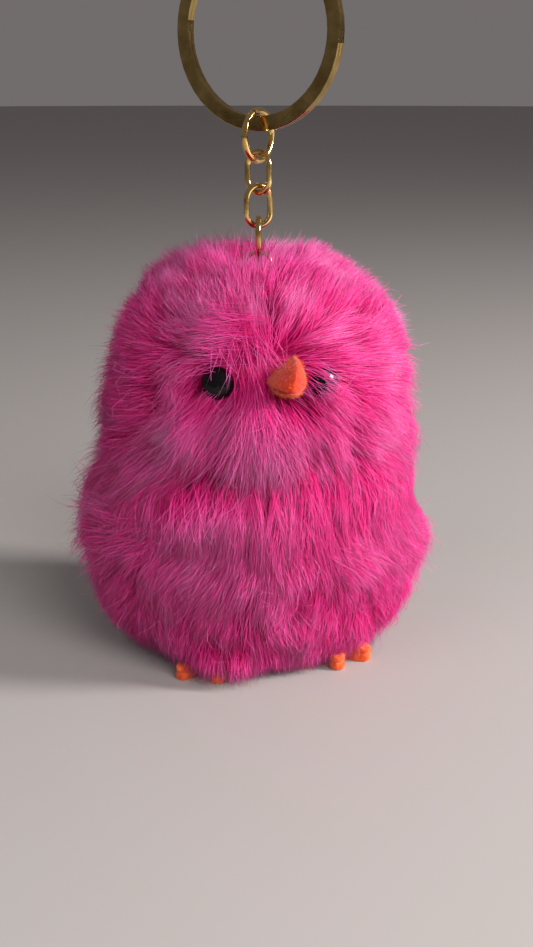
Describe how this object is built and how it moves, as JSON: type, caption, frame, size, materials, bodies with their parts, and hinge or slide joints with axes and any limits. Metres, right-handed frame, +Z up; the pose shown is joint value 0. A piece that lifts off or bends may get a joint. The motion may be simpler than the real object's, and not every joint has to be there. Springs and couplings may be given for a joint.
{
  "type": "plush keychain",
  "caption": "Small stuffed faux-fur chick with felt beak and feet and domed eyes, hung by a cord loop from a brass link chain and a split ring.",
  "frame": {"origin": "centre of the overall bounding box's underside, on the table that the chick stands on", "axes": "+Z up along the chain, -Y the way the chick looks, +X to its left"},
  "size_m": [0.0568, 0.0535, 0.1138],
  "materials": {
    "fur_fabric": "matte",
    "polyester_filling": "matte",
    "orange_felt": "matte",
    "pink_cord": "matte",
    "brass": "polished",
    "black_plastic": "gloss",
    "white_plastic": "satin"
  },
  "bodies": {
    "plush": {"head_front_panel": "fur_fabric", "head_back_panel": "fur_fabric", "body_front_panel": "fur_fabric", "body_back_panel": "fur_fabric", "base_panel": "fur_fabric", "head_stuffing": "polyester_filling", "body_stuffing": "polyester_filling", "neck_thread": "pink_cord", "eye_left": "black_plastic", "eye_right": "black_plastic", "eye_washer_left": "white_plastic", "eye_washer_right": "white_plastic", "beak_upper": "orange_felt", "beak_lower": "orange_felt", "foot_left_upper": "orange_felt", "foot_left_sole": "orange_felt", "foot_right_upper": "orange_felt", "foot_right_sole": "orange_felt", "hang_loop": "pink_cord"},
    "plush_ring": {"plush_ring": "brass"},
    "chain_link_3": {"chain_link_3": "brass"},
    "chain_link_2": {"chain_link_2": "brass"},
    "chain_link_1": {"chain_link_1": "brass"},
    "connector_ring": {"connector_ring": "brass"},
    "split_ring": {"split_ring": "brass"}
  },
  "joints": [
    {"name": "plush_ring_swing", "type": "hinge", "parent": "plush", "child": "plush_ring", "pos_m": [0, 0, 0.0618], "axis": [0.1219, 0.9925, 0], "range_deg": [-40, 40]},
    {"name": "chain_link_3_swing", "type": "hinge", "parent": "plush_ring", "child": "chain_link_3", "pos_m": [0, 0, 0.0651], "axis": [0.9925, -0.1219, 0], "range_deg": [-40, 40]},
    {"name": "chain_link_2_swing", "type": "hinge", "parent": "chain_link_3", "child": "chain_link_2", "pos_m": [0, 0, 0.07043], "axis": [-0.1219, -0.9925, 0], "range_deg": [-70, 70]},
    {"name": "chain_link_1_swing", "type": "hinge", "parent": "chain_link_2", "child": "chain_link_1", "pos_m": [0, 0, 0.07558], "axis": [-0.9397, -0.342, 0], "range_deg": [-70, 70]},
    {"name": "connector_ring_swing", "type": "hinge", "parent": "chain_link_1", "child": "connector_ring", "pos_m": [0, 0, 0.08073], "axis": [0.7314, -0.682, 0], "range_deg": [-70, 70]},
    {"name": "split_ring_swing", "type": "hinge", "parent": "connector_ring", "child": "split_ring", "pos_m": [0, 0, 0.08695], "axis": [0.6561, 0.7547, 0], "range_deg": [-55, 55]}
  ]
}
